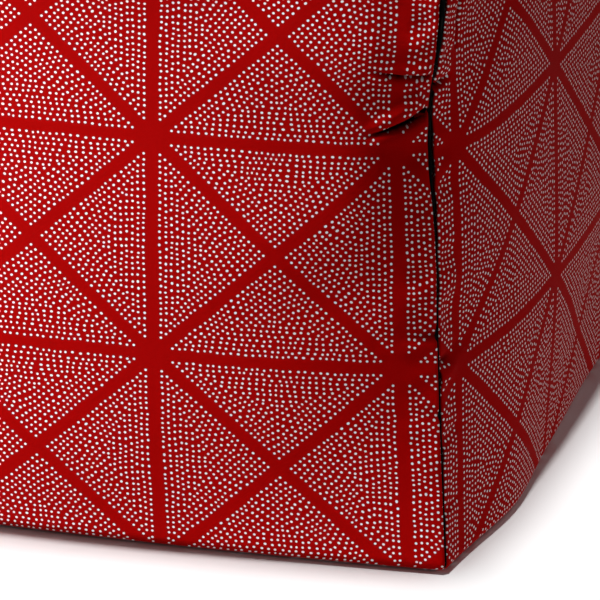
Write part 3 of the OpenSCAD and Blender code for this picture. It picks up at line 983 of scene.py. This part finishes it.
def bevelled(node, name):
    # a copy of the CAD solid with its doubles merged and its sharp edges eased
    mesh = bpy.data.objects[node].data.copy()
    mesh.name = name
    bm = bmesh.new()
    bm.from_mesh(mesh)
    bmesh.ops.remove_doubles(bm, verts=bm.verts, dist=1e-6)
    bmesh.ops.dissolve_limit(bm, angle_limit=math.radians(2), verts=bm.verts, edges=bm.edges)
    sharp = [e for e in bm.edges if len(e.link_faces) == 2 and e.calc_face_angle() > math.radians(35)]
    bmesh.ops.bevel(bm, geom=sharp, offset=zipFinish["bevel"], offset_type="OFFSET", segments=2, profile=0.5,
                    affect="EDGES", material=-1, clamp_overlap=True)
    bmesh.ops.recalc_face_normals(bm, faces=bm.faces)
    bmesh.ops.triangulate(bm, faces=bm.faces)
    bm.to_mesh(mesh)
    bm.free()
    return mesh


def tabBox(node):
    low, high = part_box(node)
    low.x = max(low.x, -zipFinish["tabEnd"])
    high.x = min(high.x, zipFinish["tabEnd"])
    return low, high


def makeTab(node, name):
    low, high = tabBox(node)
    size = high - low
    bm = bmesh.new()
    bmesh.ops.create_cube(bm, size=1)
    bmesh.ops.scale(bm, vec=size, verts=bm.verts)
    bmesh.ops.bevel(bm, geom=bm.edges[:], offset=zipFinish["tabBevel"], segments=3, profile=0.5,
                    affect="EDGES", material=-1)
    bmesh.ops.translate(bm, vec=(low + high) / 2, verts=bm.verts)
    mesh = meshFrom(bm, name)
    clothMapFromPlace(mesh)
    return mesh


turnUp = Matrix.Rotation(math.radians(-90), 3, "X")
tapes = [addPiece("woven_tape_" + part, makeTape("woven_tape_" + part, "zip_tape_" + part), tapeCloth,
                  ["zip_tape_" + part]) for part in ("upper", "lower")]
for part in ("upper", "lower"):
    teeth = bpy.data.objects["zip_teeth_" + part]
    teeth.data.materials.clear()
    teeth.data.materials.append(teethPlastic)
for node, name, body in (
    ("zip_top_stops", "stops_at_the_top", "pouf"), ("zip_bottom_stop", "stop_at_the_bottom", "pouf"),
    ("zip_slider", "slider_body", "slider"), ("zip_pull", "pull_tab", "pull"),
):
    addPiece(name, bevelled(node, name), metal, [node], body)
tabs = [addPiece("end_tab_" + part, makeTab("zip_end_tab_" + part, "end_tab_" + part), tapeCloth,
                 ["zip_end_tab_" + part]) for part in ("left", "right")]

stitch = {"length": 3.1 * mm, "gap": 1.1 * mm, "thick": 0.5 * mm, "proud": 0.1 * mm,
          "inset": 2.6 * mm, "second": 7.5 * mm,       # the two rows' places from a cloth edge
          "ends": 4 * mm, "border": 1.6 * mm}


def sewRow(bm, start, end):
    # a row of short stitches from start to end
    start, end = Vector(start), Vector(end)
    run = end - start
    count = max(1, round(run.length / (stitch["length"] + stitch["gap"])))
    turn = run.to_track_quat("X", "Z").to_matrix()
    for k in range(count):
        made = bmesh.ops.create_uvsphere(bm, u_segments=6, v_segments=5, radius=0.5)
        verts = made["verts"]
        length = run.length / count * stitch["length"] / (stitch["length"] + stitch["gap"])
        bmesh.ops.rotate(bm, cent=(0, 0, 0), matrix=Matrix.Rotation(math.radians(90), 3, "Y"), verts=verts)
        bmesh.ops.scale(bm, vec=(length, stitch["thick"], stitch["thick"]), verts=verts)
        bmesh.ops.rotate(bm, cent=(0, 0, 0), matrix=turn, verts=verts)
        bmesh.ops.translate(bm, vec=start + run * ((k + 0.5) / count), verts=verts)


def makeStitches(name):
    bm = bmesh.new()
    back = half + stitch["proud"]
    span = half - stitch["ends"]
    for z in (zipEdges[1] + stitch["inset"], zipEdges[1] + stitch["second"],
              zipEdges[0] - stitch["inset"], zipEdges[0] - stitch["second"]):
        sewRow(bm, (-span, back, z), (span, back, z))
    for node in ("zip_end_tab_left", "zip_end_tab_right"):
        low, high = tabBox(node)
        x0, x1 = low.x + stitch["border"], high.x - stitch["border"]
        z0, z1 = low.z + stitch["border"], high.z - stitch["border"]
        y = high.y + stitch["proud"]
        corners = [(x0, y, z0), (x1, y, z0), (x1, y, z1), (x0, y, z1), (x0, y, z0)]
        for a, b in zip(corners, corners[1:]):
            sewRow(bm, a, b)
        sewRow(bm, corners[0], corners[2])
        sewRow(bm, corners[1], corners[3])
    mesh = meshFrom(bm, name)
    smooth(mesh)
    return mesh


stitches = addPiece("zip_topstitch", makeStitches("zip_topstitch"), sewingThread)
print("zip sewn in")

inside = {"liner": 10 * mm, "filling": 12.5 * mm, "lump": 1.1 * mm, "lumpSize": 19 * mm}
middle = np.array([0, 0, tall / 2])


def insideForm(name, inset, keep=None):
    # the stuffed form drawn in by inset, or only those faces of it that keep names
    mesh = cubeMesh(name)
    share = 1 - inset / np.array([half, half, tall / 2])
    moveTo(mesh, (stuffedPoints - middle) * share + middle)
    bm = bmesh.new()
    bm.from_mesh(mesh)
    if keep:
        bm.verts.ensure_lookup_table()
        onTop = flatPoints[:, 2] > tall - near
        onBase = flatPoints[:, 2] < near

        def faceSide(face):
            index = [v.index for v in face.verts]
            return "top" if onTop[index].all() else "bottom" if onBase[index].all() else "sides"
        bmesh.ops.delete(bm, geom=[f for f in bm.faces if faceSide(f) != keep], context="FACES")
    bm.to_mesh(mesh)
    bm.free()
    smooth(mesh)
    return mesh


def lumpy(mesh, depth):
    co = positions(mesh)
    x, y, z = (co / inside["lumpSize"]).T
    lumps = np.sin(x + 2 * np.sin(0.7 * y)) * np.sin(y + 2 * np.sin(0.6 * z))
    lumps = lumps * np.sin(z + 2 * np.sin(0.5 * x))
    moveTo(mesh, co + unit(middle - co) * (depth * (1 + lumps))[:, None])
    return mesh


linerCloth = nonwoven()
liners = {part: addPiece("liner_cloth_" + part, insideForm("liner_cloth_" + part, inside["liner"], part),
                         linerCloth, ["liner_" + part]) for part in ("sides", "top", "bottom")}
filling = addPiece("stuffed_filling", lumpy(insideForm("stuffed_filling", inside["filling"]), inside["lump"]),
                   looseFill(), ["filling"])
print("liner and filling made")


def makeFloor():
    bm = bmesh.new()
    bmesh.ops.create_grid(bm, x_segments=1, y_segments=1, size=6)
    mesh = meshFrom(bm, "floor")
    floor = placed("floor", mesh)
    floor.visible_diffuse = False
    floor.visible_shadow = False
    material, _, shader = newMaterial("pale_floor", 0.9)
    shader.inputs["Base Color"].default_value = (0.92, 0.92, 0.92, 1)
    mesh.materials.append(material)
    return floor


def areaLight(name, lamp):
    data = bpy.data.lights.new(name, "AREA")
    data.shape = "DISK"
    data.size = lamp["size"]
    data.energy = lamp["power"]
    light = placed(name, data)
    light.location = lamp["place"]
    light.rotation_euler = (Vector(lamp["aim"]) - Vector(lamp["place"])).to_track_quat("-Z", "Y").to_euler()
    return light


def onlyOn(light, objects):
    # the lamp lights these objects and no others
    receivers = bpy.data.collections.new(light.name + "_receivers")
    for o in objects:
        receivers.objects.link(o)
    light.light_linking.receiver_collection = receivers


floor = makeFloor()
everything = [o for o in scene.objects if o.type == "MESH" and o is not floor]
leftSide = panels["left_panel"]
facing = [o for o in everything if o is not leftSide]

# the left side stands close to the key lamp, so it has a weaker one in the same place
keyLamp = {"place": (-1.75, -0.70, 0.85), "aim": (0, -0.1, 0.2), "size": 0.7}
lamps = {
    "floor": {"place": (0.17, -0.2, 4), "aim": (0.17, -0.2, 0), "size": 0.4, "power": 170, "on": [floor]},
    "key": dict(keyLamp, power=150, on=facing),
    "left": dict(keyLamp, power=60, on=[leftSide]),
    "back": {"place": (-0.9, 2.6, 1.3), "aim": (0, 0, 0.2), "size": 1.2, "power": 70, "on": everything},
    "low": {"place": (1.0, -0.7, -0.5), "aim": (0.1, -0.1, 0.1), "size": 0.8, "power": 4, "on": everything},
}
skyStrength = 0.108

for name, lamp in lamps.items():
    onlyOn(areaLight(name + "_softbox", lamp), lamp["on"])

world = bpy.data.worlds.new("studio")
scene.world = world
world.use_nodes = True
world.node_tree.nodes["Background"].inputs["Color"].default_value = (1, 1, 1, 1)
world.node_tree.nodes["Background"].inputs["Strength"].default_value = skyStrength
scene.view_settings.view_transform = "Standard"
scene.view_settings.look = "None"

print("floor and lamps set")
